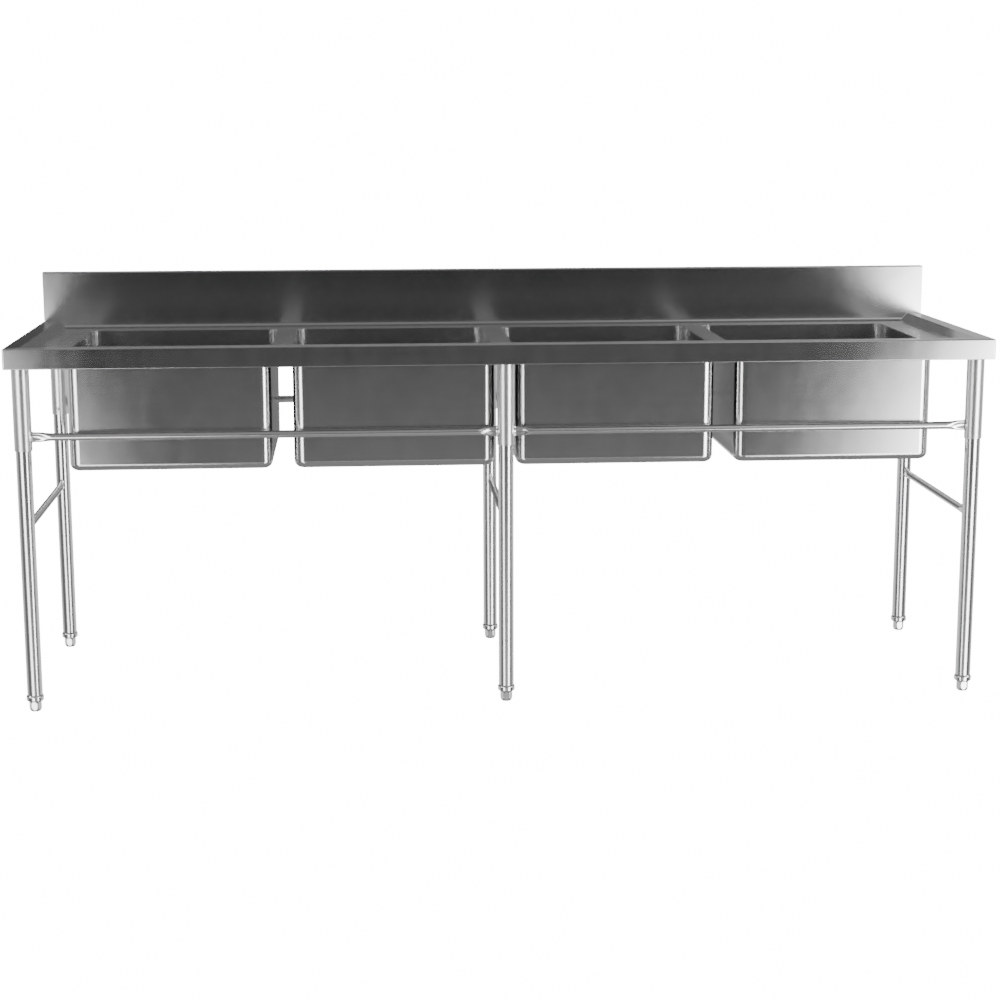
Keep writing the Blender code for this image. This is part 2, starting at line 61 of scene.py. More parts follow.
# Sheet-metal sizes that the boxes don't give
SHEET = 0.0012
GAP = 0.0003
HEM_WIDTH = 0.009
RIM_WIDTH = 0.039
SLOPE_RUN = 0.019
DECK_DROP = 0.020
CORNER_RADIUS = 0.004
SPLASH_DEPTH = 0.030
SPLASH_RETURN = 0.030
COVE_RADIUS = 0.008
EDGE_ROLL = 0.0016
BOWL_CORNER = 0.028
BOWL_BASE_RADIUS = 0.018
BOWL_FLANGE = 0.005
BOWL_FALL = 0.004
BOWL_TRIM = BOWL_FLANGE + SHEET
CORNER_STEPS = 10
CHANNEL_SHEET = 0.0018

# Waste fittings. The tail ends this far short of its box, which hides it behind the bowl from the front
DRAIN_SEAT_RADIUS = 0.058
DRAIN_SEAT_DEPTH = 0.002
DRAIN_HOLE_RADIUS = 0.0445
DRAIN_HEIGHT = 0.048
DRAIN_CUP_DEPTH = 0.034
DRAIN_CUP_WALL = 0.002
DRAIN_NECK_RADIUS = 0.0435
DRAIN_TAIL_RADIUS = 0.024
DRAIN_BORE_RADIUS = 0.0195
DRAIN_TAIL_TRIM = 0.006
DRAIN_THREAD_PITCH = 0.002
DRAIN_THREAD_DEPTH = 0.0006
DRAIN_SIDES = 64
LOCKNUT_RADIUS = 0.0485
LOCKNUT_LUGS = 8
LUG_CENTRE = 0.0500
LUG_HALF_WIDTH = 0.0022
LUG_HALF_REACH = 0.006
LUG_CORNER = 0.0016
LUG_LOW = 0.0006
LUG_HEIGHT = 0.0078

# Strainer baskets
BASKET_CLEARANCE = 0.0006
BASKET_LIFT = 0.008
BASKET_WALL = 0.0010
BASKET_TAPER = 0.004
BASKET_LIP = 0.0022
BASKET_HOLE_RADIUS = 0.0018
BASKET_HOLE_ROWS = ((0.011, 8), (0.018, 14), (0.025, 20), (0.032, 26))
KNOB_STEM = 0.004
KNOB_RADIUS = 0.009

# Legs, sockets, screws and feet
TUBE_WALL = 0.0012
TUBE_SIDES = 48
LEG_EDGE = 0.0005
SOCKET_RADIUS = 0.0215
SOCKET_EDGE = 0.0007
PLATE_HEIGHT = 0.003
PLATE_MIDDLE = 0.0195
PLATE_CORNER = 0.006
PLATE_EDGE = 0.0006
SCREW_BORE = 0.0033
BOSS_RADIUS = 0.006
BOSS_HEIGHT = 0.003
SCREW_PITCH = 0.0008
SCREW_KEY = 0.0016
SCREW_KEY_DEPTH = 0.003
SCREW_SIDES = 24
COLLAR_BORE = 0.0063
FOOT_HEIGHT = 0.026
FOOT_SOLE_RADIUS = 0.010
FOOT_DOME = 0.015
FOOT_SIDES = 72
STUD_RADIUS = 0.006
STUD_PITCH = 0.00175
STUD_THREAD_DEPTH = 0.0009

# Rails
RAIL_RADIUS = 0.0095
RAIL_SIDES = 48
RAIL_END_HALF_HEIGHT = 0.0125
RAIL_END_HALF_THICKNESS = 0.00425
RAIL_END_WEB = 0.0017
RAIL_FLARE = 0.048
RAIL_FLAT = 0.010
LONG_RAIL_HUG = 0.0218
SIDE_RAIL_HUG = 0.0193

DECK = RIM - DECK_DROP
INNER_EDGE = RIM_WIDTH + SLOPE_RUN
SPLASH_FACE = REAR - SPLASH_DEPTH
SPLASH_FOOT = SPLASH_LOW[1]
BOWLS = [f"bowl_{i}" for i in range(1, 5)]


# ---------------------------------------------------------------- mesh tools

def centre(node):
    low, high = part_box(node)
    return tuple((a + b) / 2 for a, b in zip(low, high))


def bowl_half_size():
    """Half the clear length and depth of a bowl's mouth."""
    low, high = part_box("bowl_1")
    return (high[0] - low[0]) / 2 - BOWL_TRIM, (high[1] - low[1]) / 2 - BOWL_TRIM


def new_mesh():
    bm = bmesh.new()
    return bm, bm.loops.layers.uv.new("UVMap")


def arc_lengths(points, closed):
    """Running length along a row of points, with the closing stretch last if it is closed."""
    lengths = [0.0]
    count = len(points)
    for i in range(1, count + (1 if closed else 0)):
        lengths.append(lengths[-1] + (Vector(points[i % count]) - Vector(points[i - 1])).length)
    return lengths


def loft(bm, uv, rows, closed=True, turn_uv=False):
    """Joins rows of points with faces. U runs along a row and V across the rows, both in metres."""
    verts = [[bm.verts.new(point) for point in row] for row in rows]
    longest = max(rows, key=lambda row: arc_lengths(row, closed)[-1])
    along = arc_lengths(longest, closed)
    across = [0.0]
    for first, second in zip(rows, rows[1:]):
        steps = [(Vector(a) - Vector(b)).length for a, b in zip(first, second)]
        across.append(across[-1] + sum(steps) / len(steps))
    count = len(rows[0])
    for r, (first, second) in enumerate(zip(verts, verts[1:])):
        for i in range(count if closed else count - 1):
            j = (i + 1) % count
            face = bm.faces.new((first[i], first[j], second[j], second[i]))
            corners = ((along[i], across[r]), (along[i + 1], across[r]),
                       (along[i + 1], across[r + 1]), (along[i], across[r + 1]))
            for loop, (u, v) in zip(face.loops, corners):
                loop[uv].uv = (v, u) if turn_uv else (u, v)
    return verts


def flat_face(bm, uv, verts, u_axis=0, v_axis=1):
    """One flat face whose UVs are two of its coordinates."""
    face = bm.faces.new(verts)
    for loop in face.loops:
        loop[uv].uv = (loop.vert.co[u_axis], loop.vert.co[v_axis])
    return face


def circle(radius, height, sides, x=0.0, y=0.0):
    turns = [2 * math.pi * i / sides for i in range(sides)]
    return [(x + radius * math.cos(t), y + radius * math.sin(t), height) for t in turns]


def lathe(bm, uv, profile, sides, caps=(False, False)):
    """A turned shape about Z, with its ends closed where caps says."""
    verts = loft(bm, uv, [circle(radius, height, sides) for radius, height in profile])
    for wanted, ring in zip(caps, (verts[0], verts[-1])):
        if wanted:
            flat_face(bm, uv, ring)
    return verts


def fillet(points, radii, steps=4):
    """A 2-D outline with its inner corners rounded to the given radii."""
    result = [points[0]]
    for before, corner, after, radius in zip(points, points[1:], points[2:], radii):
        a, c, b = Vector(before), Vector(corner), Vector(after)
        to_a, to_b = (a - c).normalized(), (b - c).normalized()
        half = to_a.angle(to_b) / 2
        reach = radius / math.tan(half)
        middle = c + (to_a + to_b).normalized() * (radius / math.sin(half))
        start, end = c + to_a * reach - middle, c + to_b * reach - middle
        sweep = start.angle(end)
        side = 1 if start.x * end.y - start.y * end.x > 0 else -1
        for step in range(steps + 1):
            turn = side * sweep * step / steps
            cos, sin = math.cos(turn), math.sin(turn)
            spoke = Vector((start.x * cos - start.y * sin, start.x * sin + start.y * cos))
            result.append(tuple(middle + spoke))
    result.append(points[-1])
    return result


def rounded_rectangle(half_x, half_y, radius, steps, height, x=0.0, y=0.0):
    """Points round a rectangle with round corners, each side's middle included, from +X anticlockwise."""
    points = []
    for corner in range(4):
        start = corner * math.pi / 2
        points.append((x + half_x * math.cos(start), y + half_y * math.sin(start), height))
        sign_x = 1 if corner in (0, 3) else -1
        sign_y = 1 if corner in (0, 1) else -1
        for step in range(steps + 1):
            turn = start + math.pi / 2 * step / steps
            points.append((
                x + sign_x * (half_x - radius) + radius * math.cos(turn),
                y + sign_y * (half_y - radius) + radius * math.sin(turn),
                height,
            ))
    return points


def turned(bm, matrix, start=0):
    """Moves the vertices made since start."""
    bm.verts.ensure_lookup_table()
    bmesh.ops.transform(bm, matrix=matrix, verts=bm.verts[start:])


def mesh_of(name, bm, angle=32.0):
    bmesh.ops.recalc_face_normals(bm, faces=bm.faces)
    mesh = bpy.data.meshes.new(name)
    bm.to_mesh(mesh)
    bm.free()
    mesh.shade_smooth()
    mesh.set_sharp_from_angle(angle=math.radians(angle))
    return mesh


def with_modifier(mesh, kind, angle, **settings):
    """The mesh with one modifier worked into it, its edges sharp again above the angle."""
    carrier = bpy.data.objects.new(mesh.name, mesh)
    bpy.context.scene.collection.objects.link(carrier)
    modifier = carrier.modifiers.new(kind, kind)
    for key, value in settings.items():
        setattr(modifier, key, value)
    graph = bpy.context.evaluated_depsgraph_get()
    result = bpy.data.meshes.new_from_object(carrier.evaluated_get(graph))
    bpy.data.objects.remove(carrier)
    result.set_sharp_from_angle(angle=math.radians(angle))
    return result


def sheet_metal(mesh, side=-1, thickness=SHEET, angle=32.0):
    """The mesh as folded sheet, thickened behind its faces, or in front of them if side is 1."""
    return with_modifier(mesh, "SOLIDIFY", angle, thickness=thickness, offset=side)


def place(mesh, name, node, material, location=(0, 0, 0), turn=0.0):
    """A visible piece that stands for a CAD node: it rides on the node's body, and the node's own mesh is
    hidden.
    """
    piece = bpy.data.objects.new(name, mesh)
    piece.location = location
    piece.rotation_euler.z = turn
    bpy.context.scene.collection.objects.link(piece)
    if not mesh.materials:
        mesh.materials.append(material)
    normals = piece.modifiers.new("normals", "WEIGHTED_NORMAL")
    normals.keep_sharp = True
    normals.weight = 100
    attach(piece, BODY_OF[node])
    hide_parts(node)
    return piece


# ---------------------------------------------------------------- materials

def node(tree, kind, **values):
    made = tree.nodes.new(kind)
    for key, value in values.items():
        setattr(made, key, value)
    return made


def noise(tree, vector, scale, detail, stretch=(1, 1, 1), distortion=0.0):
    mapping = node(tree, "ShaderNodeMapping")
    mapping.inputs["Scale"].default_value = stretch
    tree.links.new(vector, mapping.inputs["Vector"])
    made = node(tree, "ShaderNodeTexNoise")
    made.inputs["Scale"].default_value = scale
    made.inputs["Detail"].default_value = detail
    made.inputs["Distortion"].default_value = distortion
    tree.links.new(mapping.outputs["Vector"], made.inputs["Vector"])
    return made.outputs["Fac"]


def remap(tree, value, low, high, from_low=0.3, from_high=0.7):
    made = node(tree, "ShaderNodeMapRange")
    made.inputs["From Min"].default_value = from_low
    made.inputs["From Max"].default_value = from_high
    made.inputs["To Min"].default_value = low
    made.inputs["To Max"].default_value = high
    tree.links.new(value, made.inputs["Value"])
    return made.outputs["Result"]


def math_node(tree, operation, first, second):
    made = node(tree, "ShaderNodeMath", operation=operation)
    for socket, value in zip(made.inputs, (first, second)):
        if isinstance(value, (int, float)):
            socket.default_value = value
        else:
            tree.links.new(value, socket)
    return made.outputs[0]


def bump(tree, height, distance, strength, normal=None):
    made = node(tree, "ShaderNodeBump")
    made.inputs["Distance"].default_value = distance
    made.inputs["Strength"].default_value = strength
    tree.links.new(height, made.inputs["Height"])
    if normal:
        tree.links.new(normal, made.inputs["Normal"])
    return made.outputs["Normal"]


def start_material(name):
    material = bpy.data.materials.new(name)
    material.use_nodes = True
    tree = material.node_tree
    return material, tree, tree.nodes["Principled BSDF"], tree.nodes.new("ShaderNodeTexCoord")


def steel(name, tone, roughness, spread, anisotropy, grain=1.0, wave=0.0005, grain_turn=0.25):
    """Stainless steel with a brushed grain along U, slow panel waves, faint smudges and fine scratches."""
    material, tree, shader, coords = start_material(name)
    shader.inputs["Metallic"].default_value = 1.0
    shader.inputs["Anisotropic"].default_value = anisotropy
    shader.inputs["Anisotropic Rotation"].default_value = grain_turn
    tangent = node(tree, "ShaderNodeTangent", direction_type="UV_MAP")
    tree.links.new(tangent.outputs["Tangent"], shader.inputs["Tangent"])
    along, across = coords.outputs["UV"], coords.outputs["Object"]
    fine = noise(tree, along, 1.0, 1.0, (5.0, 420.0, 1.0))
    band = noise(tree, along, 1.0, 2.0, (1.5, 90.0, 1.0))
    cloud = noise(tree, across, 4.5, 2.0, distortion=0.4)
    smear = noise(tree, across, 17.0, 4.0, (1.0, 1.0, 0.6), 0.8)
    streaks = math_node(tree, "ADD", math_node(tree, "MULTIPLY", fine, 0.6),
                        math_node(tree, "MULTIPLY", band, 0.4))
    colour = node(tree, "ShaderNodeMix", data_type="RGBA")
    dark, light = tone * (1 - 0.04 * grain), tone * (1 + 0.04 * grain)
    colour.inputs["A"].default_value = (dark, dark, dark * 1.005, 1)
    colour.inputs["B"].default_value = (light, light, light, 1)
    tree.links.new(remap(tree, streaks, 0.0, 1.0), colour.inputs["Factor"])
    tree.links.new(colour.outputs["Result"], shader.inputs["Base Color"])
    dull = math_node(tree, "ADD", math_node(tree, "MULTIPLY", band, 0.3),
                     math_node(tree, "MULTIPLY", smear, 0.7))
    tree.links.new(remap(tree, dull, roughness - spread, roughness + spread), shader.inputs["Roughness"])
    waved = bump(tree, cloud, wave, 1.0)
    grained = bump(tree, streaks, 0.00002, 0.1 * grain, waved)
    tree.links.new(grained, shader.inputs["Normal"])
    return material


def rubber_material():
    material, tree, shader, coords = start_material("gasket_rubber")
    grain = noise(tree, coords.outputs["Object"], 900.0, 3.0)
    colour = node(tree, "ShaderNodeMix", data_type="RGBA")
    colour.inputs["A"].default_value = (0.018, 0.018, 0.019, 1)
    colour.inputs["B"].default_value = (0.045, 0.045, 0.046, 1)
    tree.links.new(grain, colour.inputs["Factor"])
    tree.links.new(colour.outputs["Result"], shader.inputs["Base Color"])
    tree.links.new(remap(tree, grain, 0.6, 0.85), shader.inputs["Roughness"])
    tree.links.new(bump(tree, grain, 0.0002, 0.4), shader.inputs["Normal"])
    return material


def cast_brass():
    material, tree, shader, coords = start_material("nut_brass")
    shader.inputs["Metallic"].default_value = 1.0
    pits = noise(tree, coords.outputs["Object"], 420.0, 4.0)
    patina = noise(tree, coords.outputs["Object"], 40.0, 3.0)
    colour = node(tree, "ShaderNodeMix", data_type="RGBA")
    colour.inputs["A"].default_value = (0.50, 0.44, 0.30, 1)
    colour.inputs["B"].default_value = (0.72, 0.66, 0.50, 1)
    tree.links.new(patina, colour.inputs["Factor"])
    tree.links.new(colour.outputs["Result"], shader.inputs["Base Color"])
    tree.links.new(remap(tree, patina, 0.28, 0.5), shader.inputs["Roughness"])
    tree.links.new(bump(tree, pits, 0.0002, 0.3), shader.inputs["Normal"])
    return material


# ---------------------------------------------------------------- the folded top

def rim_half_width(height):
    """Half the clear width between the two end rims at a height on their inner slopes."""
    return HALF_LENGTH - INNER_EDGE + SLOPE_RUN * (height - DECK) / DECK_DROP


def rim_row(inset, height):
    """Points along one fold of the rim, from the rear of the left end round the front to the rear right."""
    radius = max(CORNER_RADIUS - inset, 0.0004)
    side_x, front_y = HALF_LENGTH - inset, FRONT + inset
    left, right = [], []
    for step in range(5):
        turn = math.pi / 2 * step / 4
        x = side_x - radius + radius * math.cos(turn)
        y = front_y + radius - radius * math.sin(turn)
        left.append((-x, y, height))
        right.insert(0, (x, y, height))
    foot = SPLASH_FOOT - GAP
    return [(-side_x, REAR, height), (-side_x, foot, height), *left, *right,
            (side_x, foot, height), (side_x, REAR, height)]


def deck_cell(bm, uv, low, high, bowl):
    """The deck round one bowl: flat to the cell's edges, rolled down into the bowl on the inside."""
    steps = CORNER_STEPS
    x, y, _ = centre(bowl)
    half_x, half_y = bowl_half_size()
    hole = rounded_rectangle(
        half_x + EDGE_ROLL, half_y + EDGE_ROLL, BOWL_CORNER + EDGE_ROLL, steps, DECK, x, y)
    outer = []
    quarter = steps + 2
    for i, (px, py, _) in enumerate(hole):
        corner, step = divmod(i, quarter)
        edge_x = high[0] if corner in (0, 3) else low[0]
        edge_y = high[1] if corner in (0, 1) else low[1]
        on_side = step <= steps / 2
        if step == 0:
            edge = [(high[0], y), (x, high[1]), (low[0], y), (x, low[1])][corner]
        elif step == steps // 2 + 1:
            edge = (edge_x, edge_y)
        elif on_side == (corner in (0, 2)):
            edge = (edge_x, py)
        else:
            edge = (px, edge_y)
        outer.append((*edge, DECK))
    rows = [outer, hole]
    for step in range(1, 5):
        turn = math.pi / 2 * step / 4
        inset = EDGE_ROLL * (1 - math.sin(turn))
        drop = EDGE_ROLL * (1 - math.cos(turn))
        radius = BOWL_CORNER + inset
        rows.append(rounded_rectangle(half_x + inset, half_y + inset, radius, steps, DECK - drop, x, y))
    for ring in loft(bm, uv, rows):
        for vert in ring:
            for loop in vert.link_loops:
                loop[uv].uv = vert.co.to_2d()


def make_deck(material):
    bm, uv = new_mesh()
    outline = [(HEM_WIDTH, APRON_BOTTOM), (0, APRON_BOTTOM), (0, RIM), (RIM_WIDTH, RIM), (INNER_EDGE, DECK),
               (INNER_EDGE + 0.012, DECK)]
    profile = fillet(outline, (0.002, 0.003, 0.003, 0.004))
    loft(bm, uv, [rim_row(inset, height) for inset, height in profile], closed=False)
    margin = profile[-1][0]
    middles = [centre(bowl)[0] for bowl in BOWLS]
    splits = [(a + b) / 2 for a, b in zip(middles, middles[1:])]
    edges = [-HALF_LENGTH + margin, *splits, HALF_LENGTH - margin]
    for bowl, left, right in zip(BOWLS, edges, edges[1:]):
        deck_cell(bm, uv, (left, FRONT + margin), (right, SPLASH_FOOT - GAP), bowl)
    place(sheet_metal(mesh_of("deck", bm)), "deck_skin", "deck_panel", material)


def make_backsplash(material):
    bm, uv = new_mesh()
    corner = [(SPLASH_FOOT, DECK), (SPLASH_FACE, DECK), (SPLASH_FACE, DECK + 2 * COVE_RADIUS)]
    cove = fillet(corner, (COVE_RADIUS,), 8)
    rows = []
    for y, z in cove[:-1]:
        width = rim_half_width(z) - SHEET
        rows.append([(-width, y, z), (width, y, z)])
    low = loft(bm, uv, rows, closed=False)[-1]
    shoulder = rim_half_width(RIM) - SHEET
    columns = (-HALF_LENGTH, -shoulder, shoulder, HALF_LENGTH)
    outline = fillet([(SPLASH_FACE, RIM + GAP), (SPLASH_FACE, SPLASH_TOP), (REAR, SPLASH_TOP),
                      (REAR, SPLASH_TOP - SPLASH_RETURN)], (0.003, 0.003))
    sheet = loft(bm, uv, [[(x, y, z) for x in columns] for y, z in outline], closed=False)
    flat_face(bm, uv, (low[0], low[1], sheet[0][2], sheet[0][1]), 0, 2)
    for column, x in ((0, -HALF_LENGTH), (3, HALF_LENGTH)):
        heel = bm.verts.new((x, REAR, RIM + GAP))
        flat_face(bm, uv, [row[column] for row in sheet] + [heel], 1, 2)
    place(sheet_metal(mesh_of("splash", bm)), "splash_skin", "backsplash", material)


def make_bowls(material):
    """A deep pressed bowl whose base falls to a round seat for the waste fitting."""
    half_x, half_y = bowl_half_size()
    drain_y = centre("drain_body_1")[1] - centre("bowl_1")[1]
    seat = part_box("bowl_1")[0][2] + SHEET
    base = seat + DRAIN_SEAT_DEPTH + BOWL_FALL
    mouth_height = base - BOWL_FALL
    steps = CORNER_STEPS
    bm, uv = new_mesh()
    rim_height = DECK - EDGE_ROLL - GAP
    flange = rounded_rectangle(
        half_x + BOWL_TRIM, half_y + BOWL_TRIM, BOWL_CORNER + BOWL_FLANGE, steps, rim_height)
    rows = [flange, rounded_rectangle(half_x, half_y, BOWL_CORNER, steps, rim_height)]
    for step in range(9):
        turn = math.pi / 2 * step / 8
        inset = BOWL_BASE_RADIUS * (1 - math.cos(turn))
        height = base + BOWL_BASE_RADIUS * (1 - math.sin(turn))
        rows.append(rounded_rectangle(half_x - inset, half_y - inset, BOWL_CORNER - inset, steps, height))
    count = len(rows[0])
    mouth = circle(DRAIN_SEAT_RADIUS, mouth_height, count, 0, drain_y)
    edge = rows[-1]
    for share in (0.12, 0.3, 0.5, 0.7, 0.88, 1.0):
        rows.append([tuple(Vector(a).lerp(Vector(b), share)) for a, b in zip(edge, mouth)])
    step_down = ((0.0006, 0.0006), (0.0014, 0.0017), (0.003, DRAIN_SEAT_DEPTH),
                 (DRAIN_SEAT_RADIUS - DRAIN_HOLE_RADIUS, DRAIN_SEAT_DEPTH))
    for inset, drop in step_down:
        rows.append(circle(DRAIN_SEAT_RADIUS - inset, mouth_height - drop, count, 0, drain_y))
    loft(bm, uv, rows)
    mesh = sheet_metal(mesh_of("bowl", bm, 40), 1, angle=40)
    for i, bowl in enumerate(BOWLS, 1):
        x, y, _ = centre(bowl)
        place(mesh, f"bowl_skin_{i}", bowl, material, (x, y, 0))


def make_channel(material):
    low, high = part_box("support_channel")
    bm, uv = new_mesh()
    top = high[2]
    outline = fillet([(low[0], low[2]), (low[0], top), (high[0], top), (high[0], low[2])], (0.003, 0.003))
    rows = [[(x, low[1], z), (x, high[1], z)] for x, z in outline]
    loft(bm, uv, rows, closed=False)
    mesh = sheet_metal(mesh_of("channel", bm), thickness=CHANNEL_SHEET)
    place(mesh, "channel_skin", "support_channel", material)


# ---------------------------------------------------------------- waste fittings

def make_drains(metal, rubber, brass):
    """A waste cup, a rubber washer, a ring nut and a strainer basket for each bowl."""
    body_low, body_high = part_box("drain_body_1")
    top = body_high[2]
    seat = body_low[2] + DRAIN_HEIGHT
    floor = seat - DRAIN_CUP_DEPTH
    ledge = DRAIN_NECK_RADIUS - DRAIN_CUP_WALL
    body = waste_cup_mesh(body_low[2] + DRAIN_TAIL_TRIM, floor, seat, top, (body_high[0] - body_low[0]) / 2)
    gasket = gasket_mesh()
    nut = locknut_mesh()
    basket = basket_mesh(ledge - BASKET_CLEARANCE, top, floor + BASKET_LIFT)
    for i in range(1, len(BOWLS) + 1):
        x, y, _ = centre(f"drain_body_{i}")
        spot = (x, y, 0)
        place(body, f"waste_cup_{i}", f"drain_body_{i}", metal, spot)
        place(gasket, f"washer_{i}", f"drain_gasket_{i}", rubber, spot)
        place(nut, f"ring_nut_{i}", f"drain_locknut_{i}", brass, spot)
        place(basket, f"basket_skin_{i}", f"strainer_basket_{i}", metal, spot)


def thread(radius, start, turns, pitch, depth):
    """The outline of a thread that runs downwards from start."""
    outline = []
    for turn in range(turns):
        level = start - turn * pitch
        outline += [(radius, level), (radius - depth, level - pitch / 2)]
    return outline


def waste_cup_mesh(tail_end, floor, seat, top, flange):
    """A cup with a flange that sits in the bowl, a threaded neck and a threaded tail."""
    neck, tail, bore = DRAIN_NECK_RADIUS, DRAIN_TAIL_RADIUS, DRAIN_BORE_RADIUS
    ledge = neck - DRAIN_CUP_WALL
    outline = [(bore, tail_end), (bore, floor), (tail, floor), (ledge, floor + 0.006), (ledge, top - 0.003),
               (ledge + 0.003, top), (flange, top), (flange - 0.0002, seat + GAP)]
    profile = fillet(outline, (0.0005, 0.0005, 0.002, 0.0008, 0.0015, 0.0012))
    profile.append((neck, seat + GAP))
    profile += thread(neck, seat - 0.003, 9, DRAIN_THREAD_PITCH, DRAIN_THREAD_DEPTH)
    profile += [(neck, floor + 0.004), (tail, floor - 0.002)]
    profile += thread(tail, tail_end + 0.0045, 2, DRAIN_THREAD_PITCH, DRAIN_THREAD_DEPTH)
    profile += [(tail - DRAIN_THREAD_DEPTH, tail_end), (bore, tail_end)]
    bm, uv = new_mesh()
    lathe(bm, uv, profile, DRAIN_SIDES)
    return mesh_of("waste", bm, 28)


def gasket_mesh():
    low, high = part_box("drain_gasket_1")
    bm, uv = new_mesh()
    ring(bm, uv, DRAIN_NECK_RADIUS + GAP, (high[0] - low[0]) / 2, low[2], high[2], 0.0008)
    return mesh_of("gasket", bm)


def locknut_mesh():
    """A ring with grip lugs round its outside."""
    low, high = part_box("drain_locknut_1")
    bm, uv = new_mesh()
    ring(bm, uv, DRAIN_NECK_RADIUS + GAP, LOCKNUT_RADIUS, low[2], high[2], 0.001)
    for lug in range(LOCKNUT_LUGS):
        start = len(bm.verts)
        heights = (low[2] + LUG_LOW, low[2] + LUG_LOW + LUG_HEIGHT)
        rows = [rounded_rectangle(LUG_HALF_WIDTH, LUG_HALF_REACH, LUG_CORNER, 4, z) for z in heights]
        for cap in loft(bm, uv, rows):
            flat_face(bm, uv, cap)
        spin = Matrix.Rotation(2 * math.pi * lug / LOCKNUT_LUGS, 4, "Z")
        turned(bm, spin @ Matrix.Translation((LUG_CENTRE, 0, 0)), start)
    return mesh_of("nut", bm)


def ring(bm, uv, inside, outside, low, high, bevel):
    """A plain ring with rounded edges."""
    middle = (inside + outside) / 2
    outline = [(middle, low), (outside, low), (outside, high), (inside, high), (inside, low), (middle, low)]
    lathe(bm, uv, fillet(outline, (bevel,) * 4), DRAIN_SIDES)


def basket_mesh(outer, rim_top, floor):
    """A pressed strainer with rows of round holes and a turned knob."""
    wall, taper, lip = BASKET_WALL, BASKET_TAPER, BASKET_LIP
    bm, uv = new_mesh()
    outline = [(0.0001, floor), (outer - taper, floor), (outer, rim_top - 0.003),
               (outer + lip, rim_top - 0.0008), (outer + lip, rim_top + 0.0004),
               (outer - wall, rim_top - 0.002), (outer - taper - wall, floor + wall),
               (0.0001, floor + wall)]
    rounding = (0.002, 0.001, 0.0003, 0.0003, 0.001, 0.0012)
    lathe(bm, uv, fillet(outline, rounding, 3), DRAIN_SIDES, (True, True))
    shell = mesh_of("basket_shell", bm)
    bm, uv = new_mesh()
    pin = [(BASKET_HOLE_RADIUS, floor - 0.001), (BASKET_HOLE_RADIUS, floor + 0.002)]
    for radius, count in BASKET_HOLE_ROWS:
        for i in range(count):
            turn = 2 * math.pi * i / count
            start = len(bm.verts)
            lathe(bm, uv, pin, 10, (True, True))
            turned(bm, Matrix.Translation((radius * math.cos(turn), radius * math.sin(turn), 0)), start)
    cutter = bpy.data.objects.new("basket_holes", mesh_of("basket_holes", bm))
    bpy.context.scene.collection.objects.link(cutter)
    pierced = with_modifier(shell, "BOOLEAN", 32, operation="DIFFERENCE", object=cutter)
    bpy.data.objects.remove(cutter)
    bm = bmesh.new()
    bm.from_mesh(pierced)
    uv = bm.loops.layers.uv.verify()
    outline = [(0.0001, floor + wall), (KNOB_STEM, floor + wall), (KNOB_STEM, rim_top - 0.006),
               (KNOB_RADIUS, rim_top - 0.004), (KNOB_RADIUS, rim_top + 0.001), (0.0001, rim_top + 0.003)]
    knob = fillet(outline, (0.0008, 0.002, 0.001, 0.0014), 4)
    lathe(bm, uv, knob, 32, (True, True))
    return mesh_of("basket", bm)


# ---------------------------------------------------------------- stand

def tube(bm, uv, inside, outside, low, high, edge):
    """A plain tube with lightly broken edges, its grain running round it."""
    outline = [(inside, (low + high) / 2), (inside, low), (outside, low), (outside, high), (inside, high),
               (inside, (low + high) / 2)]
    lathe(bm, uv, fillet(outline, (edge,) * 4, 2), TUBE_SIDES)


def make_sockets(material):
    for node_name in BODY_OF:
        if node_name.startswith("leg_socket"):
            x, y, _ = centre(node_name.replace("leg_socket", "leg"))
            place(socket_mesh(node_name, x, y), node_name + "_skin", node_name, material, (x, y, 0))


def socket_mesh(node_name, x, y):
    """A tube with a weld round its top, a mounting plate above it and a boss for the grub screw."""
    low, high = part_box(node_name)
    leg_low, leg_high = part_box("leg_front_left")
    leg_radius = (leg_high[0] - leg_low[0]) / 2
    radius = SOCKET_RADIUS
    in_middle = "middle" in node_name
    plate = high[2] - PLATE_HEIGHT
    bm, uv = new_mesh()
    tube(bm, uv, leg_radius + GAP, radius, low[2], plate, SOCKET_EDGE)
    if not in_middle:
        weld = [(radius - 0.0002, plate - 0.005), (radius + 0.0016, plate - 0.0035),
                (radius + 0.004, plate - 0.0003)]
        lathe(bm, uv, fillet(weld, (0.004,), 4), TUBE_SIDES)
    left = max(low[0], -PLATE_MIDDLE) if in_middle else low[0]
    right = min(high[0], PLATE_MIDDLE) if in_middle else high[0]
    half_x, half_y = (right - left) / 2, (high[1] - low[1]) / 2
    middle_x, middle_y = (left + right) / 2 - x, (high[1] + low[1]) / 2 - y
    rows = []
    for inset, level in ((PLATE_EDGE, plate), (0, plate + PLATE_EDGE),
                         (0, high[2] - PLATE_EDGE), (PLATE_EDGE, high[2])):
        rows.append(rounded_rectangle(
            half_x - inset, half_y - inset, PLATE_CORNER, 5, level, middle_x, middle_y))
    ends = loft(bm, uv, rows)
    for cap in (ends[0], ends[-1]):
        flat_face(bm, uv, cap)
    start = len(bm.verts)
    face = radius + BOSS_HEIGHT
    outline = [(SCREW_BORE, 0.0195), (SCREW_BORE, face), (BOSS_RADIUS, face),
               (BOSS_RADIUS, radius - 0.0006)]
    lathe(bm, uv, fillet(outline, (0.0004, 0.0008), 3), SCREW_SIDES)
    _, screw_y, screw_z = centre(node_name.replace("leg_socket", "socket_screw"))
    tilt = -math.pi / 2 if screw_y > y else math.pi / 2
    turned(bm, Matrix.Translation((0, 0, screw_z)) @ Matrix.Rotation(tilt, 4, "X"), start)
    return mesh_of("socket", bm)


